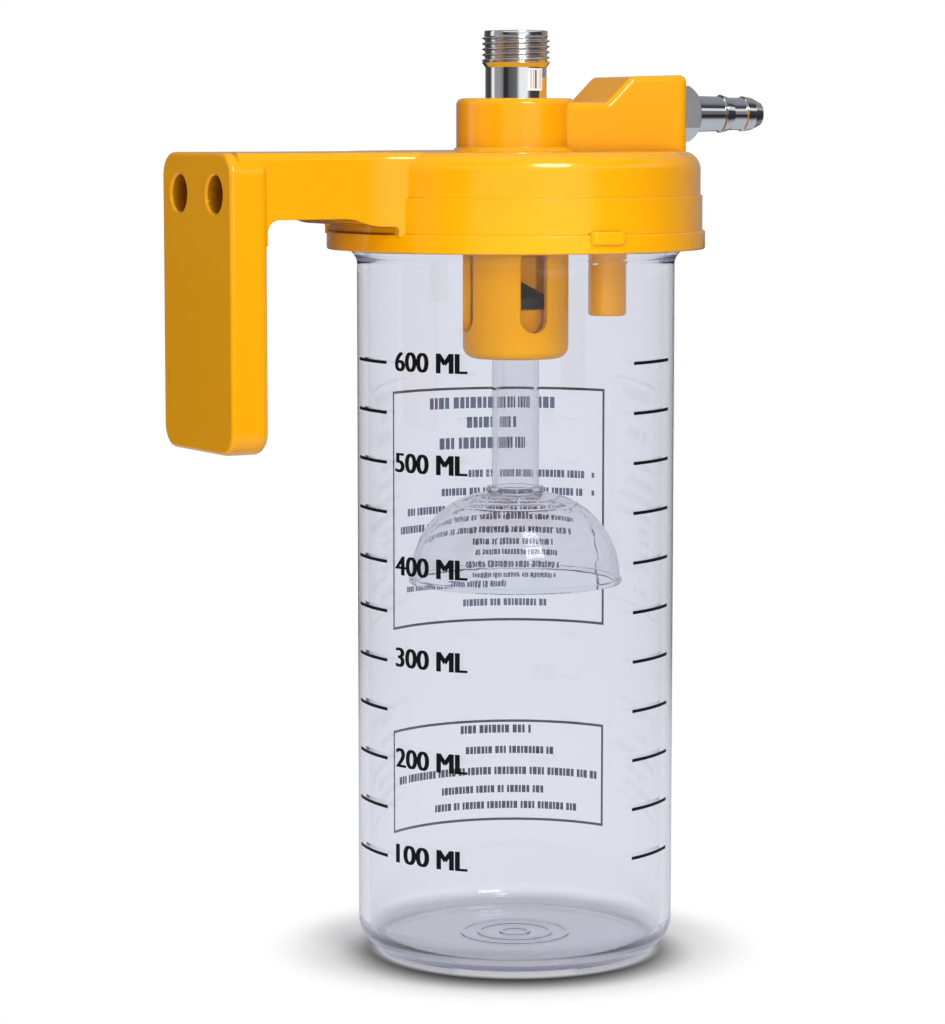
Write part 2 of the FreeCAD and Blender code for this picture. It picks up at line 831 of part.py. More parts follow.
def main():
    os.makedirs("parts", exist_ok=True)
    print("float travel", round(float_travel, 3))
    for name, make in NODES.items():
        shape = make()
        if not shape.isValid():
            raise RuntimeError(name + " is not a valid shape")
        if len(shape.Solids) != 1:
            raise RuntimeError(name + " has " + str(len(shape.Solids)) + " solids")
        shape.Solids[0].exportStep("parts/" + name + ".step")
        box = shape.BoundBox
        size = (box.XLength, box.YLength, box.ZLength)
        print(name, round(shape.Volume, 1), [round(value, 2) for value in size])


if __name__ == "__main__":
    main()
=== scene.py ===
import math

import bmesh
import bpy
from mathutils import Matrix, Vector


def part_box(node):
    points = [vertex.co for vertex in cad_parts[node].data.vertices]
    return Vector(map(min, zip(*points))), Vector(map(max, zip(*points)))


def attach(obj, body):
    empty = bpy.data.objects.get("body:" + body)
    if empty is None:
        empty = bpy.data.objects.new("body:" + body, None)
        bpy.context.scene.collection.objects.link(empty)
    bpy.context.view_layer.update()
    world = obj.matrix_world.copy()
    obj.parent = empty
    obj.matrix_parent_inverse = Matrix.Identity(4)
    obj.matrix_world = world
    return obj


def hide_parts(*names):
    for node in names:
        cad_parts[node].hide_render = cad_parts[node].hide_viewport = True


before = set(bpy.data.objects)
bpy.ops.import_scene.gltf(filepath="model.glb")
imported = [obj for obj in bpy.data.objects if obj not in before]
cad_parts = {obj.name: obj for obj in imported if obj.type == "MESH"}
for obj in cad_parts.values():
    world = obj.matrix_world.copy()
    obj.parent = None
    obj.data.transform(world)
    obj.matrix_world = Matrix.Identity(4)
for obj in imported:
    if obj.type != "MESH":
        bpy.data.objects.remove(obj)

# Looks of a ward suction canister: clear moulded jar with a printed scale, yellow lid, chromed stud and
# hose tail, and a clear float under a yellow cage. Lengths are metres, and angles are degrees round the jar.

bl_info = {
    "name": "Suction canister looks",
    "version": (1, 0, 0),
    "blender": (4, 5, 0),
    "location": "3D View > Sidebar > Canister",
    "description": "Finishes, printed scale and studio for a clear suction canister with a yellow lid",
    "category": "Object",
}

MM = 0.001
STUD_LOW, STUD_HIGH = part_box("vacuum_stud")
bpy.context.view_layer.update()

# The middles of the jar's near and far wall as the camera sees them
FRONT_DEG = 240.0
BACK_DEG = FRONT_DEG - 180.0

# The print lies just outside the jar's clear wall
PRINT_GAP = 0.02 * MM
JAR_WALL_R = 39.0 * MM
PRINT_R = JAR_WALL_R + PRINT_GAP

# Curved plates and lettering are cut into steps of this angle
ARC_STEP_DEG = 1.5

# Bends above this angle stay sharp
SHARP_DEG = 32.0


class Value:
    """Output socket of a node, used in Python expressions that lay the Math nodes they need."""

    def __init__(self, graph, socket):
        self.graph = graph
        self.socket = socket

    def __add__(self, other):
        return self.graph.math("ADD", self, other)

    __radd__ = __add__

    def __mul__(self, other):
        return self.graph.math("MULTIPLY", self, other)

    __rmul__ = __mul__


class Graph:
    """Node tree of one material or of the world."""

    def __init__(self, tree):
        self.tree = tree
        tree.nodes.clear()

    def node(self, kind, settings=None, inputs=None, output=0):
        """Adds a node: its settings first, then the values or links of its sockets.

        Sockets go by their name or identifier, and the output that is given back also by its number.
        """
        made = self.tree.nodes.new(kind)
        for name, value in (settings or {}).items():
            if name == "stops":
                self.set_stops(made.color_ramp, value)
            else:
                setattr(made, name, value)
        for name, value in (inputs or {}).items():
            socket = next(s for s in made.inputs if name in (s.identifier, s.name))
            if isinstance(value, Value):
                self.tree.links.new(value.socket, socket)
            else:
                socket.default_value = value
        if isinstance(output, str):
            return Value(self, next(s for s in made.outputs if output in (s.identifier, s.name)))
        return Value(self, made.outputs[output]) if made.outputs else None

    def set_stops(self, ramp, stops):
        """Grey stops of a colour ramp: position and level of each, in order."""
        while len(ramp.elements) < len(stops):
            ramp.elements.new(1.0)
        for element, (position, level) in zip(ramp.elements, stops):
            element.position = position
            element.color = (level, level, level, 1.0)

    def math(self, operation, first, second):
        return self.node("ShaderNodeMath", {"operation": operation}, {"Value": first, "Value_001": second})

    def mix(self, factor, first, second):
        inputs = {"Factor_Float": factor, "A_Color": first, "B_Color": second}
        return self.node("ShaderNodeMix", {"data_type": "RGBA"}, inputs, "Result_Color")

    def mix_shader(self, factor, first, second):
        inputs = {"Fac": factor, "Shader": first, "Shader_001": second}
        return self.node("ShaderNodeMixShader", None, inputs)

    def principled(self, inputs):
        return self.node("ShaderNodeBsdfPrincipled", None, inputs)

    def noise(self, scale, detail, stretch=None):
        """Noise from 0 to 1 on the piece's own coordinates, scale in cells a metre."""
        place = self.node("ShaderNodeTexCoord", None, None, "Object")
        if stretch is not None:
            inputs = {"Vector": place, "Vector_001": stretch}
            place = self.node("ShaderNodeVectorMath", {"operation": "MULTIPLY"}, inputs)
        inputs = {"Vector": place, "Scale": scale, "Detail": detail}
        return self.node("ShaderNodeTexNoise", None, inputs, "Fac")

    def ramp(self, value, low, high):
        """A smooth change from 0 at low to 1 at high. Low may be the larger of the two."""
        inputs = {"Value": value, "From Min": low, "From Max": high}
        return self.node("ShaderNodeMapRange", {"interpolation_type": "SMOOTHSTEP"}, inputs, "Result")

    def bump(self, height, distance, strength, normal=None):
        inputs = {"Height": height, "Distance": distance, "Strength": strength}
        if normal is not None:
            inputs["Normal"] = normal
        return self.node("ShaderNodeBump", None, inputs, "Normal")

    def soft_edges(self, radius):
        return self.node("ShaderNodeBevel", {"samples": 6}, {"Radius": radius}, "Normal")

    def light_path(self, output):
        return self.node("ShaderNodeLightPath", None, None, output)

    def seen_directly(self):
        """1 for rays from the camera and for rays through clear plastic."""
        seen = self.light_path("Is Camera Ray") + self.light_path("Is Transmission Ray")
        return self.math("MINIMUM", seen, 1.0)


def between(value, low, high):
    """A 0 to 1 value spread over a range."""
    return value * (high - low) + low


def opaque(colour):
    """A colour with its alpha of 1."""
    return (*colour, 1.0)


def toned(colour, shares):
    """A darker or lighter colour, with a share for each channel."""
    return opaque(channel * share for channel, share in zip(colour, shares))


def new_material(name, lay):
    """A material whose surface is what lay returns for its graph; a second value is its volume."""
    made = bpy.data.materials.new(name)
    made.use_nodes = True
    graph = Graph(made.node_tree)
    parts = lay(graph)
    surface, volume = parts if isinstance(parts, tuple) else (parts, None)
    inputs = {"Surface": surface}
    if volume is not None:
        inputs["Volume"] = volume
    graph.node("ShaderNodeOutputMaterial", None, inputs)
    return made


def dress(names, material):
    """Gives CAD nodes their finish."""
    for name in names:
        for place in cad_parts[name].material_slots:
            place.material = material


def yellow_moulding(graph, colour, roughness, edge, shine, coat, painted_shade_colour, painted_shade_reach):
    """Moulded plastic with faint clouds, fine grain, softened edges, and painted shade that darkens it in
    deep places.
    """
    cloud_shares = (0.98, 0.94, 0.8)
    least_open, most_open = 0.3, 0.62
    roughness_spread = 0.05
    cloud_roughness = 0.04
    cloud = graph.noise(scale=22.0, detail=3.0)
    flow = graph.noise(scale=60.0, detail=2.0, stretch=(1.0, 1.0, 0.25))
    grain = graph.noise(scale=2600.0, detail=2.0)
    clouds = between(cloud * flow, low=0.0, high=1.6)
    tone = graph.mix(clouds, toned(colour, cloud_shares), opaque(colour))
    # Painted shade: where walls stand close round a place, the colour darkens towards the painted shade
    # colour.
    openness = graph.node(
        "ShaderNodeAmbientOcclusion", {"samples": 12, "only_local": True}, {"Distance": painted_shade_reach}, "AO")
    tone = graph.mix(graph.ramp(openness, least_open, most_open), opaque(painted_shade_colour), tone)
    grain_roughness = between(grain, roughness - roughness_spread, roughness + roughness_spread)
    return graph.principled({
        "Base Color": tone,
        "Roughness": grain_roughness + cloud * cloud_roughness,
        "IOR": 1.5,
        "Specular Tint": opaque(shine),
        "Coat Weight": coat,
        "Coat Roughness": 0.06,
        "Normal": graph.bump(grain, distance=0.02 * MM, strength=0.05, normal=graph.soft_edges(edge)),
    })


# Rays that have bounced more often than this are trapped inside clear plastic
TRAPPED_DEPTH = 5.5


def clear_plastic(graph, colour, waviness, passed, depth_colour, density):
    """Polished clear plastic with the slow ripples of a moulded wall.

    Its depth colour shows where the eye looks along the wall. The light of lamps and of matt surfaces
    passes it unbent, and light that is trapped inside the wall gets out.
    """
    ripple = graph.noise(scale=70.0, detail=1.0, stretch=(1.0, 1.0, 0.35))
    haze = graph.noise(scale=240.0, detail=3.0)
    body = graph.principled({
        "Base Color": opaque(colour),
        "Roughness": between(haze, low=0.0, high=0.03),
        "IOR": 1.49,
        "Transmission Weight": 1.0,
        "Normal": graph.bump(ripple, distance=waviness, strength=0.5),
    })
    passing = graph.node("ShaderNodeBsdfTransparent", None, {"Color": opaque(passed)})
    inputs = {"Color": opaque(depth_colour), "Density": density}
    depth = graph.node("ShaderNodeVolumeAbsorption", None, inputs)
    unseen = graph.math("MAXIMUM", graph.light_path("Is Shadow Ray"), graph.light_path("Is Diffuse Ray"))
    trapped = graph.math("GREATER_THAN", graph.light_path("Ray Depth"), TRAPPED_DEPTH)
    return graph.mix_shader(graph.math("MAXIMUM", unseen, trapped), body, passing), depth


def chrome(graph, colour, roughness):
    """Bright plated brass with turning marks, fine wipe marks and softened edges."""
    smear_shares = (0.93, 0.93, 0.93)
    wear = 0.14
    marks = graph.noise(scale=9000.0, detail=1.0, stretch=(0.02, 0.02, 1.0))
    smears = graph.noise(scale=180.0, detail=3.0)
    scuffs = graph.noise(scale=900.0, detail=2.0, stretch=(1.0, 1.0, 0.2))
    edges = graph.soft_edges(0.18 * MM)
    return graph.principled({
        "Base Color": graph.mix(smears, toned(colour, smear_shares), opaque(colour)),
        "Metallic": 1.0,
        "Roughness": between(smears * scuffs, roughness, roughness + wear),
        "Normal": graph.bump(marks, distance=0.004 * MM, strength=0.35, normal=edges),
    })


def rubber(graph, colour):
    """Dull moulded rubber with a fine bloom."""
    bloom_lift = 0.02
    bloom = graph.noise(scale=500.0, detail=3.0)
    grain = graph.noise(scale=3000.0, detail=2.0)
    bloomed = opaque(channel + bloom_lift for channel in colour)
    return graph.principled({
        "Base Color": graph.mix(bloom, opaque(colour), bloomed),
        "Roughness": between(bloom, low=0.42, high=0.62),
        "Normal": graph.bump(grain, distance=0.03 * MM, strength=0.4),
    })


def white_plastic(graph):
    """Satin white seat ring, a little greyer in clouds."""
    grey, white = (0.74, 0.74, 0.7), (0.82, 0.82, 0.79)
    cloud = graph.noise(scale=120.0, detail=3.0)
    return graph.principled({
        "Base Color": graph.mix(cloud, opaque(grey), opaque(white)),
        "Roughness": between(cloud, low=0.3, high=0.42),
        "Normal": graph.soft_edges(0.2 * MM),
    })


def ink(graph, colour):
    """Screen-printed ink: slightly uneven in tone and gloss."""
    thin_shares = (1.6, 1.6, 1.6)
    speckle = graph.noise(scale=1500.0, detail=3.0)
    return graph.principled({
        "Base Color": graph.mix(speckle, opaque(colour), toned(colour, thin_shares)),
        "Roughness": between(speckle, low=0.4, high=0.6),
        "Specular IOR Level": 0.2,
    })


def paper(graph):
    """White coated label stock, a little greyer in its fibres."""
    grey, white = (0.84, 0.84, 0.86), (0.93, 0.93, 0.94)
    fibre = graph.noise(scale=2400.0, detail=4.0)
    return graph.principled({
        "Base Color": graph.mix(fibre, opaque(grey), opaque(white)),
        "Roughness": between(fibre, low=0.4, high=0.6),
        "Normal": graph.bump(fibre, distance=0.01 * MM, strength=0.3),
    })


def new_piece(name, verts, faces, material, body, smooth=True):
    """A mesh piece in the frame's own coordinates that rides on a body."""
    mesh = bpy.data.meshes.new(name)
    mesh.from_pydata(verts, [], faces)
    mesh.validate()
    mesh.materials.append(material)
    work = bmesh.new()
    work.from_mesh(mesh)
    bmesh.ops.recalc_face_normals(work, faces=work.faces)
    work.to_mesh(mesh)
    work.free()
    for face in mesh.polygons:
        face.use_smooth = smooth
    made = bpy.data.objects.new(name, mesh)
    bpy.context.scene.collection.objects.link(made)
    if smooth:
        mesh.set_sharp_from_angle(angle=math.radians(SHARP_DEG))
    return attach(made, body)


def at(radius, degrees, height):
    """A point at this angle round the jar's axis."""
    angle = math.radians(degrees)
    return radius * math.cos(angle), radius * math.sin(angle), height


def add_patch(verts, faces, start_deg, end_deg, low, high, radius, thickness):
    """Adds a thin closed plate that follows the cylinder of this radius between two angles."""
    steps = max(1, math.ceil(abs(end_deg - start_deg) / ARC_STEP_DEG))
    outer = radius + thickness
    corners = ((radius, low), (outer, low), (outer, high), (radius, high))
    count = len(corners)
    first = len(verts)
    last = first + count * steps
    for step in range(steps + 1):
        turn = start_deg + (end_deg - start_deg) * step / steps
        verts.extend(at(r, turn, z) for r, z in corners)
    for here in range(first, last, count):
        for side in range(count):
            after = (side + 1) % count
            faces.append((here + side, here + after, here + count + after, here + count + side))
    for end in (first, last):
        faces.append(tuple(end + side for side in range(count)))


def patches_piece(name, patches, radius, thickness, material, body):
    """One piece made of several curved plates (start_deg, end_deg, low, high)."""
    verts, faces = [], []
    for start_deg, end_deg, low, high in patches:
        add_patch(verts, faces, start_deg, end_deg, low, high, radius, thickness)
    return new_piece(name, verts, faces, material, body)


def frame_sides(left_deg, right_deg, low, high, line):
    """The four lines of a printed frame, as curved plates."""
    line_deg = math.copysign(math.degrees(line / PRINT_R), right_deg - left_deg)
    return [
        (left_deg, right_deg, high - line, high),
        (left_deg, right_deg, low, low + line),
        (left_deg, left_deg + line_deg, low + line, high - line),
        (right_deg - line_deg, right_deg, low + line, high - line),
    ]


# Lettering is laid flat at size one and reaches this far to both sides of its plane
LETTER_HALF_DEPTH = 0.5
WELD_DISTANCE = 1e-5


def text_mesh(body):
    """Mesh of a line of text in the built-in face, at size one."""
    curve = bpy.data.curves.new("lettering", "FONT")
    curve.body = body
    curve.size = 1.0
    curve.extrude = LETTER_HALF_DEPTH
    curve.resolution_u = 6
    holder = bpy.data.objects.new("lettering", curve)
    bpy.context.scene.collection.objects.link(holder)
    bpy.context.view_layer.update()
    mesh = bpy.data.meshes.new_from_object(holder.evaluated_get(bpy.context.evaluated_depsgraph_get()))
    bpy.data.objects.remove(holder)
    bpy.data.curves.remove(curve)
    return mesh


def wrapped_text(body, weight, left_deg, right_deg, low, high, thickness):
    """Vertices and faces of a line of text stretched into a box on the printed cylinder.

    Two copies of it, moved apart by twice the weight, make its upright strokes bold.
    """
    work = bmesh.new()
    mesh = text_mesh(body)
    for shift in (-weight, 2 * weight):
        mesh.transform(Matrix.Translation((shift, 0, 0)))
        work.from_mesh(mesh)
    bpy.data.meshes.remove(mesh)
    bmesh.ops.remove_doubles(work, verts=work.verts, dist=WELD_DISTANCE)
    xs = [v.co.x for v in work.verts]
    ys = [v.co.y for v in work.verts]
    wide, tall = max(xs) - min(xs), max(ys) - min(ys)
    cuts = max(2, math.ceil((right_deg - left_deg) / ARC_STEP_DEG))
    for cut in range(1, cuts):
        parts = work.verts[:] + work.edges[:] + work.faces[:]
        spot = Vector((min(xs) + wide * cut / cuts, 0, 0))
        bmesh.ops.bisect_plane(work, geom=parts, plane_co=spot, plane_no=(1, 0, 0))
    work.verts.index_update()
    verts = []
    for v in work.verts:
        share = (v.co.x - min(xs)) / wide
        rise = (v.co.y - min(ys)) / tall
        turn = left_deg + (right_deg - left_deg) * share
        verts.append(at(PRINT_R + thickness * (v.co.z + LETTER_HALF_DEPTH), turn, low + (high - low) * rise))
    faces = [tuple(v.index for v in face.verts) for face in work.faces]
    work.free()
    return verts, faces


def lathe(profile, columns, shape):
    """Closed ring turned from a closed profile; shape gives the radius of each (radius, height, degrees)."""
    verts, faces = [], []
    count = len(profile)
    for column in range(columns):
        turn = 360.0 * column / columns
        verts.extend(at(shape(r, z, turn), turn, z) for r, z in profile)
    for column in range(columns):
        here, there = column * count, (column + 1) % columns * count
        for index in range(count):
            after = (index + 1) % count
            faces.append((here + index, there + index, there + after, here + after))
    return verts, faces


class ClearSettings(bpy.types.PropertyGroup):
    jar_tint: bpy.props.FloatVectorProperty(
        name="Jar tint", description="Colour of white light after one wall of the jar",
        default=(0.915, 0.93, 0.965), subtype="COLOR", min=0.0, max=1.0)
    float_tint: bpy.props.FloatVectorProperty(
        name="Float tint", description="Colour of white light after one wall of the float",
        default=(0.95, 0.955, 0.975), subtype="COLOR", min=0.0, max=1.0)
    depth_colour: bpy.props.FloatVectorProperty(
        name="Depth colour", description="Colour that thick clear plastic takes",
        default=(0.42, 0.42, 0.55), subtype="COLOR", min=0.0, max=1.0)
    jar_density: bpy.props.FloatProperty(
        name="Jar density", description="How fast the jar's plastic darkens with depth, for one metre",
        default=42.0, min=0.0, max=500.0)
    float_density: bpy.props.FloatProperty(
        name="Float density", description="How fast the float's plastic darkens with depth, for one metre",
        default=90.0, min=0.0, max=500.0)
    passed: bpy.props.FloatVectorProperty(
        name="Passed light", description="Share of unbent light that passes each face of clear plastic",
        default=(0.985, 0.985, 0.99), subtype="COLOR", min=0.0, max=1.0)
    jar_ripple: bpy.props.FloatProperty(
        name="Jar ripple", description="Depth of the slow ripples in the jar's wall",
        default=0.02 * MM, subtype="DISTANCE", unit="LENGTH")
    float_ripple: bpy.props.FloatProperty(
        name="Float ripple", description="Depth of the slow ripples in the float's wall",
        default=0.01 * MM, subtype="DISTANCE", unit="LENGTH")


class MouldingSettings(bpy.types.PropertyGroup):
    lid_yellow: bpy.props.FloatVectorProperty(
        name="Lid yellow", description="Colour of the lid's plastic",
        default=(0.91, 0.4, 0.0006), subtype="COLOR", min=0.0, max=1.0)
    cage_yellow: bpy.props.FloatVectorProperty(
        name="Cage yellow", description="Colour of the cage and the plunger",
        default=(0.93, 0.41, 0.0006), subtype="COLOR", min=0.0, max=1.0)
    # Painted shade: the yellow plastic darkens towards this colour in deep places, where walls stand within
    # the reach below.
    painted_shade_colour: bpy.props.FloatVectorProperty(
        name="Deep colour", description="Colour of the yellow plastic in deep places, such as the peg holes",
        default=(0.16, 0.035, 0.0005), subtype="COLOR", min=0.0, max=1.0)
    painted_shade_reach: bpy.props.FloatProperty(
        name="Deep reach", description="How near the walls round a place must stand to make it deep",
        default=14.0 * MM, unit="LENGTH")
    lid_roughness: bpy.props.FloatProperty(
        name="Lid roughness", description="Mean roughness of the lid's surface",
        default=0.16, subtype="FACTOR", min=0.0, max=1.0)
    cage_roughness: bpy.props.FloatProperty(
        name="Cage roughness", description="Mean roughness of the cage's surface",
        default=0.36, subtype="FACTOR", min=0.0, max=1.0)
    lid_edge: bpy.props.FloatProperty(
        name="Lid edges", description="Radius over which the lid's edges look rounded",
        default=0.45 * MM, unit="LENGTH")
    cage_edge: bpy.props.FloatProperty(
        name="Cage edges", description="Radius over which the cage's edges look rounded",
        default=0.7 * MM, unit="LENGTH")
    lid_shine: bpy.props.FloatVectorProperty(
        name="Lid shine", description="Colour of mirror-like light on the lid",
        default=(1.0, 0.93, 0.6), subtype="COLOR", min=0.0, max=1.0)
    cage_shine: bpy.props.FloatVectorProperty(
        name="Cage shine", description="Colour of mirror-like light on the cage and the plunger",
        default=(1.0, 0.6, 0.05), subtype="COLOR", min=0.0, max=1.0)
    lid_coat: bpy.props.FloatProperty(
        name="Lid coat", description="Share of the clear skin on the lid",
        default=0.5, subtype="FACTOR", min=0.0, max=1.0)
    cage_coat: bpy.props.FloatProperty(
        name="Cage coat", description="Share of the clear skin on the cage and the plunger",
        default=0.0, subtype="FACTOR", min=0.0, max=1.0)
    rubber_black: bpy.props.FloatVectorProperty(
        name="Rubber black", description="Colour of the gasket, washers and valve cone",
        default=(0.012, 0.012, 0.013), subtype="COLOR", min=0.0, max=1.0)


class MetalSettings(bpy.types.PropertyGroup):
    plate_colour: bpy.props.FloatVectorProperty(
        name="Plating", description="Colour of the chrome plating",
        default=(0.87, 0.875, 0.9), subtype="COLOR", min=0.0, max=1.0)
    roughness: bpy.props.FloatProperty(
        name="Plating roughness", description="Lowest roughness of the plating",
        default=0.035, subtype="FACTOR", min=0.0, max=1.0)
    shank_r: bpy.props.FloatProperty(
        name="Shank radius", description="Radius of the plain shank", default=7.5 * MM, unit="LENGTH")
    shank_height: bpy.props.FloatProperty(
        name="Shank height", description="Height of the plain shank above the boss",
        default=7.6 * MM, unit="LENGTH")
    cone_height: bpy.props.FloatProperty(
        name="Cone height", description="Height of the cone between shank and thread",
        default=1.1 * MM, unit="LENGTH")
    collar_r: bpy.props.FloatProperty(
        name="Collar radius", description="Radius of the plain lead-in above the thread",
        default=7.75 * MM, unit="LENGTH")
    collar_height: bpy.props.FloatProperty(
        name="Collar height", description="Height of the plain lead-in", default=1.3 * MM, unit="LENGTH")
    bore_r: bpy.props.FloatProperty(
        name="Bore radius", description="Radius of the bore", default=4.2 * MM, unit="LENGTH")
    tail_r: bpy.props.FloatProperty(
        name="Tail radius", description="Radius of the tail in the boss", default=5.8 * MM, unit="LENGTH")
    tail_height: bpy.props.FloatProperty(
        name="Tail height", description="Length of the tail below the shoulder",
        default=9.4 * MM, unit="LENGTH")
    pitch: bpy.props.FloatProperty(
        name="Thread pitch", description="Rise of the thread for one turn",
        default=1.337 * MM, unit="LENGTH")
    depth: bpy.props.FloatProperty(
        name="Thread depth", description="Depth of the thread's valleys", default=0.72 * MM, unit="LENGTH")


class PrintSettings(bpy.types.PropertyGroup):
    scale_black: bpy.props.FloatVectorProperty(
        name="Scale ink", description="Colour of the scale's ink",
        default=(0.003, 0.003, 0.004), subtype="COLOR", min=0.0, max=1.0)
    frame_ink: bpy.props.FloatVectorProperty(
        name="Frame ink", description="Colour of the frames and the lower bars on the far wall",
        default=(0.015, 0.022, 0.035), subtype="COLOR", min=0.0, max=1.0)
    heading_ink: bpy.props.FloatVectorProperty(
        name="Heading ink", description="Colour of the heading bars and the upper bars on the far wall",
        default=(0.1, 0.13, 0.2), subtype="COLOR", min=0.0, max=1.0)
    label_ink: bpy.props.FloatVectorProperty(
        name="Label ink", description="Colour of the bars on the stud's label",
        default=(0.12, 0.12, 0.14), subtype="COLOR", min=0.0, max=1.0)
    thickness: bpy.props.FloatProperty(
        name="Ink thickness", description="Height of the ink above the wall",
        default=0.05 * MM, unit="LENGTH")
    zero_height: bpy.props.FloatProperty(
        name="Zero height", description="Height of the empty jar's floor",
        default=3.6 * MM, unit="LENGTH")
    rise: bpy.props.FloatProperty(
        name="Rise for 50 mL", description="Height that 50 mL takes in the bore",
        default=12.02 * MM, unit="LENGTH")
    tick: bpy.props.FloatProperty(
        name="Tick thickness", description="Height of one scale line", default=0.78 * MM, unit="LENGTH")
    digit_height: bpy.props.FloatProperty(
        name="Digit height", description="Height of the scale's numbers", default=4.7 * MM, unit="LENGTH")
    frame_line: bpy.props.FloatProperty(
        name="Frame line", description="Width of the frames' lines", default=0.66 * MM, unit="LENGTH")


class StageSettings(bpy.types.PropertyGroup):
    distance: bpy.props.FloatProperty(
        name="Camera distance", description="Level distance from the jar's axis to the camera",
        default=0.881, unit="LENGTH")
    height: bpy.props.FloatProperty(
        name="Camera height", description="Height of the camera over the floor",
        default=0.2049, unit="LENGTH")
    azimuth: bpy.props.FloatProperty(
        name="Camera azimuth", description="Turn of the camera round the jar",
        default=math.radians(-30.0), subtype="ANGLE", unit="ROTATION")
    pitch: bpy.props.FloatProperty(
        name="Camera pitch", description="Downward tilt of the camera",
        default=math.radians(6.2), subtype="ANGLE", unit="ROTATION")
    aside: bpy.props.FloatProperty(
        name="Aim aside", description="Angle by which the camera aims left of the jar's axis",
        default=math.radians(0.69), subtype="ANGLE", unit="ROTATION")
    focal: bpy.props.FloatProperty(
        name="Lens", description="Focal length on a 36 mm high sensor",
        default=125.86, subtype="DISTANCE_CAMERA")
    sky: bpy.props.FloatProperty(
        name="Room light", description="Level of the even light of the room",
        default=0.3, min=0.0, max=2.0)
    key: bpy.props.FloatProperty(
        name="Key lamp", description="Power of the key lamp", default=6.0, unit="POWER")
    wide: bpy.props.FloatProperty(
        name="Wide lamp", description="Power of the wide low lamp", default=8.0, unit="POWER")
    top: bpy.props.FloatProperty(
        name="Top lamp", description="Power of the lamp overhead", default=3.5, unit="POWER")
    cage: bpy.props.FloatProperty(
        name="Cage lamp", description="Power of the narrow lamp on the float's cage",
        default=42.0, unit="POWER")


def chosen(name):
    """The scene's settings of one group."""
    return getattr(bpy.context.scene, name)


class CANISTER_OT_clear_jar(bpy.types.Operator):
    """Finish the clear jar"""
    bl_idname = "canister.clear_jar"
    bl_label = "Clear jar"

    def execute(self, context):
        clear = chosen("canister_clear")
        dress(["jar"], new_material("jar_clear_plastic", lambda graph: clear_plastic(
            graph, colour=clear.jar_tint, waviness=clear.jar_ripple, passed=clear.passed,
            depth_colour=clear.depth_colour, density=clear.jar_density)))
        return {"FINISHED"}


class CANISTER_OT_clear_float(bpy.types.Operator):
    """Finish the float's clear stem and dome"""
    bl_idname = "canister.clear_float"
    bl_label = "Clear float"

    def execute(self, context):
        clear = chosen("canister_clear")
        dress(["float_stem", "float_dome"], new_material("float_clear_plastic", lambda graph: clear_plastic(
            graph, colour=clear.float_tint, waviness=clear.float_ripple, passed=clear.passed,
            depth_colour=clear.depth_colour, density=clear.float_density)))
        return {"FINISHED"}


class CANISTER_OT_mouldings(bpy.types.Operator):
    """Finish the yellow and white mouldings"""
    bl_idname = "canister.mouldings"
    bl_label = "Mouldings"

    def execute(self, context):
        moulding = chosen("canister_moulding")
        dress(["lid"], new_material("lid_yellow_plastic", lambda graph: yellow_moulding(
            graph, colour=moulding.lid_yellow, roughness=moulding.lid_roughness, edge=moulding.lid_edge,
            shine=moulding.lid_shine, coat=moulding.lid_coat, painted_shade_colour=moulding.painted_shade_colour,
            painted_shade_reach=moulding.painted_shade_reach)))
        cage = new_material("cage_yellow_plastic", lambda graph: yellow_moulding(
            graph, colour=moulding.cage_yellow, roughness=moulding.cage_roughness, edge=moulding.cage_edge,
            shine=moulding.cage_shine, coat=moulding.cage_coat, painted_shade_colour=moulding.painted_shade_colour,
            painted_shade_reach=moulding.painted_shade_reach))
        dress(["float_cage", "valve_plunger"], cage)
        dress(["valve_seat"], new_material("seat_white_plastic", white_plastic))
        return {"FINISHED"}


class CANISTER_OT_rubber(bpy.types.Operator):
    """Finish the gasket, the washers and the valve's cone"""
    bl_idname = "canister.rubber"
    bl_label = "Rubber"

    def execute(self, context):
        colour = chosen("canister_moulding").rubber_black
        finish = new_material("black_moulded_rubber", lambda graph: rubber(graph, colour))
        dress(["jar_gasket", "stud_washer", "barb_washer", "valve_seal"], finish)
        return {"FINISHED"}


class CANISTER_OT_metalwork(bpy.types.Operator):
    """Plate the hose tail and the nut, and turn the threaded stud"""
    bl_idname = "canister.metalwork"
    bl_label = "Metalwork"

    def execute(self, context):
        metal = chosen("canister_metal")
        finish = new_material(
            "chrome_plate", lambda graph: chrome(graph, metal.plate_colour, metal.roughness))
        dress(["hose_barb", "stud_nut"], finish)
        threaded_stud(metal, finish)
        return {"FINISHED"}


# The thread's mesh and the sharpness of its crests
THREAD_COLUMNS = 144
THREAD_ROWS = 84
CREST_SHARPNESS = 2.2
CREST_TOLERANCE = 1e-6

# Turns over which the thread grows out of the cone, and over which it fades into the collar
RUN_IN_TURNS = 0.5
RUN_OUT_TURNS = 0.35

# The stud's softened rims, and the share of that by which the point in the outer rim's middle comes in
RIM_R = 0.25 * MM
RIM_BEND = 0.3


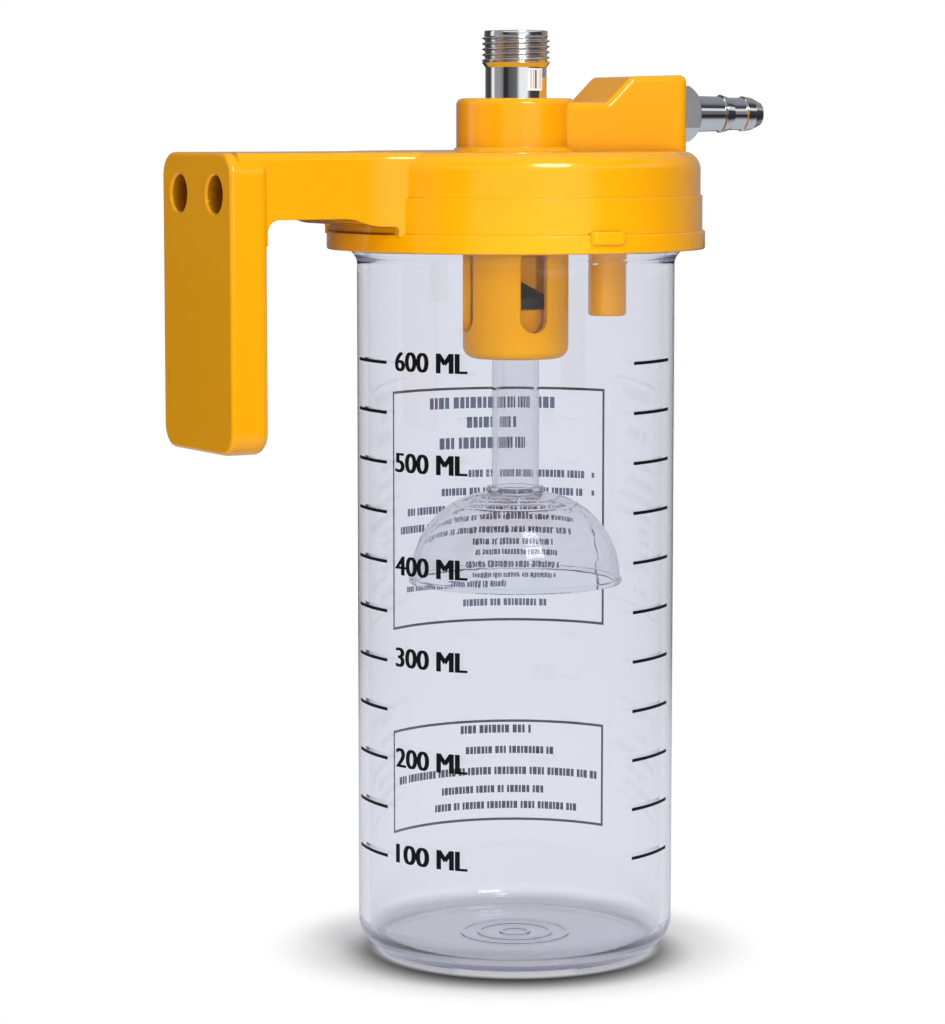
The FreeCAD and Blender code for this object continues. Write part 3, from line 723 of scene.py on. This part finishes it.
def threaded_stud(metal, finish):
    """Stud with a real helical thread, in place of the plain one."""
    crest_r = STUD_HIGH.x
    floor_r = crest_r - metal.depth
    top = STUD_HIGH.z
    tail_low = STUD_LOW.z
    shoulder = tail_low + metal.tail_height
    cone_low = shoulder + metal.shank_height
    thread_low = cone_low + metal.cone_height
    thread_high = top - metal.collar_height
    profile = [
        (metal.tail_r, tail_low),
        (metal.tail_r, shoulder),
        (metal.shank_r, shoulder),
        (metal.shank_r, cone_low),
    ]
    profile += [(crest_r, thread_low + (thread_high - thread_low) * row / THREAD_ROWS)
                for row in range(THREAD_ROWS + 1)]
    profile += [
        (metal.collar_r, thread_high + RIM_R),
        (metal.collar_r, top - RIM_R),
        (metal.collar_r - RIM_BEND * RIM_R, top - RIM_BEND * RIM_R),
        (metal.collar_r - RIM_R, top),
        (metal.bore_r + RIM_R, top),
        (metal.bore_r, top - RIM_R),
        (metal.bore_r, tail_low),
    ]

    def cut_thread(radius, height, turn):
        if radius < crest_r - CREST_TOLERANCE:
            return radius
        share = (height - thread_low) / metal.pitch - turn / 360.0
        wave = 0.5 + 0.5 * math.cos(2 * math.pi * share)
        run_in = min(1.0, (height - thread_low) / (RUN_IN_TURNS * metal.pitch))
        run_out = min(1.0, (thread_high - height) / (RUN_OUT_TURNS * metal.pitch))
        threaded = floor_r + metal.depth * wave ** CREST_SHARPNESS
        lead_r = metal.collar_r + (threaded - metal.collar_r) * run_out
        return crest_r - (crest_r - lead_r) * run_in

    verts, faces = lathe(profile, THREAD_COLUMNS, cut_thread)
    made = new_piece("threaded_stud", verts, faces, finish, "lid")
    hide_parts("vacuum_stud")


# The scale has a line every 50 mL from 100 to 600, and a number and the unit at every second one. Spans are
# angles from the front's middle, with plus to the right as the camera sees it.
LINE_ML = 50
LINE_STEPS = range(2, 13)
NUMBER_STEPS = LINE_STEPS[::2]
LINE_SPANS = ((-76.7, -52.4), (46.5, 71.7))
NUMBER_SPAN = (-47.6, -31.9)
UNIT = "ML"
UNIT_SPAN = (-28.9, -16.9)

# How much bolder the numbers and the unit are than the built-in face, at size one
NUMBER_WEIGHT = 0.036
UNIT_WEIGHT = 0.05

# The share of a number's height that lies under its line, and how much higher each stands by itself, from the
# lowest and in millimetres
NUMBER_DROP = 0.55
NUMBER_LIFT = (1.45, 0.95, 1.45, -0.35, 0.5, 0.7)


class CANISTER_OT_scale(bpy.types.Operator):
    """Print the scale's lines and numbers on the jar"""
    bl_idname = "canister.scale"
    bl_label = "Scale"

    def execute(self, context):
        printed = chosen("canister_print")
        finish = new_material("scale_ink", lambda graph: ink(graph, printed.scale_black))
        lines = []
        for step in LINE_STEPS:
            middle = printed.zero_height + printed.rise * step
            low, high = middle - printed.tick / 2, middle + printed.tick / 2
            lines += [(FRONT_DEG + start, FRONT_DEG + end, low, high) for start, end in LINE_SPANS]
        patches_piece("scale_lines", lines, PRINT_R, printed.thickness, finish, "jar")
        verts, faces = [], []
        for step, lift in zip(NUMBER_STEPS, NUMBER_LIFT):
            middle = printed.zero_height + printed.rise * step
            low = middle - printed.digit_height * NUMBER_DROP + lift * MM
            high = low + printed.digit_height
            number = (str(step * LINE_ML), NUMBER_WEIGHT, NUMBER_SPAN)
            for body, weight, (left, right) in (number, (UNIT, UNIT_WEIGHT, UNIT_SPAN)):
                points, sides = wrapped_text(
                    body, weight, FRONT_DEG + left, FRONT_DEG + right, low, high, printed.thickness)
                faces += [tuple(index + len(verts) for index in side) for side in sides]
                verts += points
        new_piece("scale_numbers", verts, faces, finish, "jar", smooth=False)
        return {"FINISHED"}


# The two frames on the far wall. Angles here and in the rows are from the far wall's middle, with plus to the
# left as the camera sees it.
FRAME_LEFT_DEG = 58.4
FRAME_RIGHT_DEG = -37.9
FRAME_HEIGHTS = {"upper": (76.9 * MM, 137.6 * MM), "lower": (24.5 * MM, 51.0 * MM)}

# Rows of plain bars: middle height and bar height in millimetres, then the first and the last angle
HEADING_ROWS = (
    (133.6, 2.9, 36.2, -16.4),
    (128.5, 2.8, 19.6, -1.0),
    (123.2, 2.9, 31.6, -10.0),
)
UPPER_ROWS = (
    (115.3, 1.9, 18.9, -28.4),
    (110.7, 1.9, 30.7, -28.0),
    (106.3, 1.9, 48.4, -26.0),
    (101.9, 1.9, 52.8, -24.0),
    (98.3, 1.7, 17.6, -15.9),
    (95.3, 1.5, 16.4, -18.0),
    (91.8, 1.7, 20.6, -18.9),
    (88.9, 1.2, 17.6, -17.0),
    (86.6, 1.4, 49.0, 3.4),
    (81.8, 1.8, 21.2, -12.5),
)
LOWER_ROWS = (
    (48.6, 2.1, 22.3, -7.0),
    (43.1, 1.9, 20.1, -15.9),
    (37.6, 2.0, 54.0, -36.0),
    (32.8, 1.9, 30.7, -12.6),
    (28.6, 1.9, 34.0, -26.2),
)
DOT_ROWS = ((115.3, 1.3, -31.8, -33.0), (110.7, 1.3, -31.8, -33.0))

# A row's blocks stand in groups of these sizes, with this many spaces more between two groups
GROUP_SIZES = (4, 7, 3, 9, 5, 2, 6, 8)
GROUP_SPACES = 2.5

# Degrees that a block and a space take for each millimetre of a row's height. A block is one of three
# shares of that width, and a row ends where less than the last share is left.
BLOCK_WIDTH = 0.62
BLOCK_SPACE = 0.2
BLOCK_SHARES = (0.75, 1.0, 1.25)
LAST_SHARE = 0.8


class CANISTER_OT_frames(bpy.types.Operator):
    """Print the two frames and the plain bars inside them on the far wall"""
    bl_idname = "canister.frames"
    bl_label = "Frames"

    def execute(self, context):
        printed = chosen("canister_print")
        finish = new_material("frame_ink", lambda graph: ink(graph, printed.frame_ink))
        heading = new_material("heading_ink", lambda graph: ink(graph, printed.heading_ink))
        left_deg, right_deg = BACK_DEG + FRAME_LEFT_DEG, BACK_DEG + FRAME_RIGHT_DEG
        for name, (low, high) in FRAME_HEIGHTS.items():
            sides = frame_sides(left_deg, right_deg, low, high, printed.frame_line)
            patches_piece(name + "_frame", sides, PRINT_R, printed.thickness, finish, "jar")
        for name, blocks, coloured in (
                ("heading_bars", grouped_blocks(HEADING_ROWS), heading),
                ("upper_bars", grouped_blocks(UPPER_ROWS) + dots(DOT_ROWS), heading),
                ("lower_bars", grouped_blocks(LOWER_ROWS), finish)):
            patches_piece(name, blocks, PRINT_R, printed.thickness, coloured, "jar")
        return {"FINISHED"}


def row_heights(middle, tall):
    """Lower and upper height of a row, from millimetres."""
    return (middle - tall / 2) * MM, (middle + tall / 2) * MM


def dots(rows):
    """One small square dot for each row."""
    return [(BACK_DEG + first_deg, BACK_DEG + last_deg, *row_heights(middle, tall))
            for middle, tall, first_deg, last_deg in rows]


def grouped_blocks(rows):
    """Small plain blocks that fill each row in groups."""
    blocks = []
    for index, (middle, tall, first_deg, last_deg) in enumerate(rows):
        wide_deg, space_deg = tall * BLOCK_WIDTH, tall * BLOCK_SPACE
        low, high = row_heights(middle, tall)
        turn, group, left = first_deg, index, GROUP_SIZES[index % len(GROUP_SIZES)]
        while turn - wide_deg * LAST_SHARE > last_deg:
            share = BLOCK_SHARES[(group + left) % len(BLOCK_SHARES)]
            after = max(turn - wide_deg * share, last_deg)
            blocks.append((BACK_DEG + turn, BACK_DEG + after, low, high))
            turn, left = after - space_deg, left - 1
            if left == 0:
                group += 1
                turn, left = turn - GROUP_SPACES * space_deg, GROUP_SIZES[group % len(GROUP_SIZES)]
    return blocks


# The label on the shank: its heights over the shoulder, its angles from the front's middle, its upright bars
# and the margins under and over them
LABEL_HEIGHTS = (1.9 * MM, 7.3 * MM)
LABEL_SPAN = (21.5, 57.5)
LABEL_THICKNESS = 0.06 * MM
LABEL_BARS = ((28.2, 29.6), (33.2, 34.2), (37.2, 41.6), (50.0, 50.9))
LABEL_BAR_START = 0.05 * MM
LABEL_BAR_THICKNESS = 0.03 * MM
LABEL_MARGINS = (0.5 * MM, 0.4 * MM)


class CANISTER_OT_label(bpy.types.Operator):
    """Stick the small label on the stud's shank"""
    bl_idname = "canister.label"
    bl_label = "Stud label"

    def execute(self, context):
        metal = chosen("canister_metal")
        printed = chosen("canister_print")
        stock = new_material("label_paper", paper)
        finish = new_material("label_ink", lambda graph: ink(graph, printed.label_ink))
        shoulder = STUD_LOW.z + metal.tail_height
        low, high = (shoulder + height for height in LABEL_HEIGHTS)
        start, end = (FRONT_DEG + turn for turn in LABEL_SPAN)
        face_r = metal.shank_r + PRINT_GAP
        patches_piece("stud_label", [(start, end, low, high)], face_r, LABEL_THICKNESS, stock, "lid")
        under, over = LABEL_MARGINS
        bars = [(FRONT_DEG + first, FRONT_DEG + last, low + under, high - over) for first, last in LABEL_BARS]
        patches_piece("stud_label_bars", bars, face_r + LABEL_BAR_START, LABEL_BAR_THICKNESS, finish, "lid")
        return {"FINISHED"}


class CANISTER_OT_studio(bpy.types.Operator):
    """Set up the floor, the room, the lamps and the camera"""
    bl_idname = "canister.studio"
    bl_label = "Studio"

    def execute(self, context):
        stage = chosen("canister_stage")
        studio_floor()
        studio_room(stage)
        lamps(stage)
        camera(stage)
        context.scene.view_settings.view_transform = "Standard"
        return {"FINISHED"}


# The floor's painted shadow, a dark ring, begins between the first two distances from the jar's axis, and
# fades between the next two from a point that lies towards the camera. Farther out the floor turns into the
# background's white.
PAINTED_SHADOW_BEGINS = (33.0 * MM, 37.0 * MM)
PAINTED_SHADOW_FADES = (47.0 * MM, 30.0 * MM)
PAINTED_SHADOW_CENTRE = (-3.0 * MM, -5.2 * MM, 0.0)
WHITE_BEGINS = (43.0 * MM, 64.0 * MM)
PAINTED_SHADOW_COLOUR = (0.07, 0.07, 0.073)
FLOOR_COLOUR = (0.97, 0.97, 0.97)
PURE_WHITE = (1.0, 1.0, 1.0)
FLOOR_HALF = 4.0

# The floor as reflections show it near the jar and farther out, and as it throws light back
MIRRORED_REACH = (0.25, 0.6)
MIRRORED_NEAR = (0.5, 0.52, 0.58)
MIRRORED_FAR = (0.03, 0.03, 0.035)
DULL_COLOUR = (0.68, 0.68, 0.68)


def glow(graph, colour):
    """Shines with just this colour."""
    return graph.node("ShaderNodeEmission", None, {"Color": opaque(colour), "Strength": 1.0})


def matt(graph, colour):
    """Takes light and shadow like dull paint."""
    return graph.node("ShaderNodeBsdfDiffuse", None, {"Color": opaque(colour)})


def floor_surface(graph):
    """White floor that keeps the shadow near the jar and is the background's white farther out.

    A painted shadow, a dark ring, lies on it round the jar's foot.
    """
    place = graph.node("ShaderNodeNewGeometry", None, None, "Position")
    span = graph.node("ShaderNodeVectorMath", {"operation": "LENGTH"}, {"Vector": place}, "Value")
    inputs = {"Vector": place, "Vector_001": PAINTED_SHADOW_CENTRE}
    ahead = graph.node("ShaderNodeVectorMath", {"operation": "DISTANCE"}, inputs, "Value")
    # Painted shadow: a dark ring in the floor's colour round the jar's foot.
    ring = graph.ramp(span, *PAINTED_SHADOW_BEGINS) * graph.ramp(ahead, *PAINTED_SHADOW_FADES)
    near = graph.mix_shader(ring, matt(graph, FLOOR_COLOUR), matt(graph, PAINTED_SHADOW_COLOUR))
    white = graph.mix_shader(graph.ramp(span, *WHITE_BEGINS), near, glow(graph, PURE_WHITE))
    mirrored = graph.mix_shader(
        graph.ramp(span, *MIRRORED_REACH), glow(graph, MIRRORED_NEAR), glow(graph, MIRRORED_FAR))
    unseen = graph.mix_shader(graph.light_path("Is Glossy Ray"), matt(graph, DULL_COLOUR), mirrored)
    return graph.mix_shader(graph.seen_directly(), unseen, white)


def studio_floor():
    """The stage's floor."""
    half = FLOOR_HALF
    mesh = bpy.data.meshes.new("studio_floor")
    corners = [(-half, -half, 0), (half, -half, 0), (half, half, 0), (-half, half, 0)]
    mesh.from_pydata(corners, [], [(0, 1, 2, 3)])
    mesh.materials.append(new_material("studio_floor", floor_surface))
    made = bpy.data.objects.new("studio_floor", mesh)
    bpy.context.scene.collection.objects.link(made)


# Panels and gaps round the object: the direction in degrees from +X, and the level there
ROOM_PANELS = (
    (95.0, 0.08), (125.0, 0.05), (134.0, 0.2), (139.0, 1.0), (149.0, 0.95), (154.0, 0.34),
    (188.0, 0.26), (194.0, 0.03), (208.0, 0.03), (214.0, 0.1), (243.0, 0.16), (254.0, 0.95),
    (282.0, 1.0), (291.0, 0.2), (300.0, 0.05), (345.0, 0.05), (355.0, 0.22), (60.0, 0.34),
)

# A level strip in front of the object, and the ceiling. Heights and depths are those of a direction of
# length one.
STRIP_BEGINS = (0.24, 0.34)
STRIP_ENDS = (0.56, 0.46)
STRIP_FRONT = (0.0, -0.3)
STRIP_COLOUR = (0.8, 0.82, 0.86)
CEILING_BEGINS = (0.66, 0.9)
CEILING_COLOUR = (0.26, 0.28, 0.33)


def studio_room(stage):
    """Even room light, a white background, and soft panels and dark gaps that only reflections show."""
    world = bpy.data.worlds.new("studio_room")
    bpy.context.scene.world = world
    world.use_nodes = True
    graph = Graph(world.node_tree)
    way = graph.node("ShaderNodeTexCoord", None, None, "Generated")
    turn = graph.node("ShaderNodeTexGradient", {"gradient_type": "RADIAL"}, {"Vector": way}, "Fac")
    stops = sorted(((degrees + 180.0) % 360.0 / 360.0, level) for degrees, level in ROOM_PANELS)
    panels = graph.node("ShaderNodeValToRGB", {"stops": stops}, {"Fac": turn}, "Color")
    height = graph.node("ShaderNodeSeparateXYZ", None, {"Vector": way}, "Z")
    front = graph.node("ShaderNodeSeparateXYZ", None, {"Vector": way}, "Y")
    strip = graph.ramp(height, *STRIP_BEGINS) * graph.ramp(height, *STRIP_ENDS)
    strip = strip * graph.ramp(front, *STRIP_FRONT)
    panels = graph.mix(strip, panels, opaque(STRIP_COLOUR))
    panels = graph.mix(graph.ramp(height, *CEILING_BEGINS), panels, opaque(CEILING_COLOUR))
    even = opaque((stage.sky, stage.sky, stage.sky))
    colour = graph.mix(graph.light_path("Is Glossy Ray"), even, panels)
    colour = graph.mix(graph.seen_directly(), colour, opaque(PURE_WHITE))
    background = graph.node("ShaderNodeBackground", None, {"Color": colour, "Strength": 1.0})
    graph.node("ShaderNodeOutputWorld", None, {"Surface": background})


def lamp_at(name, kind, power, aim, turn_deg, rise_deg, distance):
    """A lamp round an aim point: turned from -Y towards +X, and raised over the floor."""
    lamp = bpy.data.lights.new(name, kind)
    lamp.energy = power
    made = bpy.data.objects.new(name, lamp)
    turn, rise = math.radians(turn_deg), math.radians(rise_deg)
    way = Vector((math.sin(turn) * math.cos(rise), -math.cos(turn) * math.cos(rise), math.sin(rise)))
    made.location = Vector(aim) + way * distance
    made.rotation_euler = (-way).to_track_quat("-Z", "Y").to_euler()
    bpy.context.scene.collection.objects.link(made)
    return made


def panel_lamp(name, across, along, **place):
    """A rectangular lamp."""
    made = lamp_at(name, "AREA", **place)
    made.data.shape = "RECTANGLE"
    made.data.size = across
    made.data.size_y = along
    return made


def lamps(stage):
    """A key lamp that reflections show, and three that they don't.

    Those are a wide low one, one overhead and a narrow one on the float's cage.
    """
    panel_lamp("key_lamp", across=0.38, along=0.32, power=stage.key,
               aim=(0.0, 0.0, 0.1), turn_deg=-5.0, rise_deg=40.0, distance=1.2)
    wide = panel_lamp("wide_lamp", across=0.8, along=0.4, power=stage.wide,
                      aim=(0.0, 0.0, 0.12), turn_deg=-40.0, rise_deg=7.0, distance=1.3)
    top = panel_lamp("top_lamp", across=0.5, along=0.5, power=stage.top,
                     aim=(0.0, 0.0, 0.0), turn_deg=0.0, rise_deg=89.0, distance=1.1)
    cage = lamp_at("cage_lamp", "SPOT", power=stage.cage,
                   aim=(0.006, 0.0, 0.158), turn_deg=-24.0, rise_deg=2.0, distance=1.2)
    cage.data.spot_size = math.radians(2.6)
    cage.data.spot_blend = 0.7
    cage.data.shadow_soft_size = 0.03
    for made in (wide, top, cage):
        made.visible_glossy = False
        made.visible_transmission = False


def camera(stage):
    """Camera at the photograph's place and lens, for a frame 945 wide and 1024 high."""
    lens = bpy.data.cameras.new("camera")
    lens.sensor_fit = "VERTICAL"
    lens.sensor_height = 36.0
    lens.lens = stage.focal
    lens.clip_start = 0.01
    lens.clip_end = 20.0
    made = bpy.data.objects.new("camera", lens)
    aside, ahead = stage.distance * math.sin(stage.azimuth), stage.distance * math.cos(stage.azimuth)
    made.location = (aside, -ahead, stage.height)
    made.rotation_euler = (math.radians(90.0) - stage.pitch, 0.0, stage.azimuth + stage.aside)
    bpy.context.scene.collection.objects.link(made)
    bpy.context.scene.camera = made


OPERATORS = (
    CANISTER_OT_clear_jar,
    CANISTER_OT_clear_float,
    CANISTER_OT_mouldings,
    CANISTER_OT_rubber,
    CANISTER_OT_metalwork,
    CANISTER_OT_scale,
    CANISTER_OT_frames,
    CANISTER_OT_label,
    CANISTER_OT_studio,
)
GROUPS = {
    "canister_clear": ClearSettings,
    "canister_moulding": MouldingSettings,
    "canister_metal": MetalSettings,
    "canister_print": PrintSettings,
    "canister_stage": StageSettings,
}


class CANISTER_PT_looks(bpy.types.Panel):
    """Lists the canister's pieces and finishes"""
    bl_idname = "CANISTER_PT_looks"
    bl_label = "Canister"
    bl_space_type = "VIEW_3D"
    bl_region_type = "UI"
    bl_category = "Canister"

    def draw(self, context):
        for operator in OPERATORS:
            self.layout.operator(operator.bl_idname)


def register():
    for name, group in GROUPS.items():
        bpy.utils.register_class(group)
        setattr(bpy.types.Scene, name, bpy.props.PointerProperty(type=group))
    for shown in (*OPERATORS, CANISTER_PT_looks):
        bpy.utils.register_class(shown)


def unregister():
    for shown in (CANISTER_PT_looks, *reversed(OPERATORS)):
        bpy.utils.unregister_class(shown)
    for name, group in GROUPS.items():
        delattr(bpy.types.Scene, name)
        bpy.utils.unregister_class(group)


def main():
    register()
    for operator in OPERATORS:
        group, name = operator.bl_idname.split(".")
        getattr(getattr(bpy.ops, group), name)()


if __name__ == "__main__":
    main()
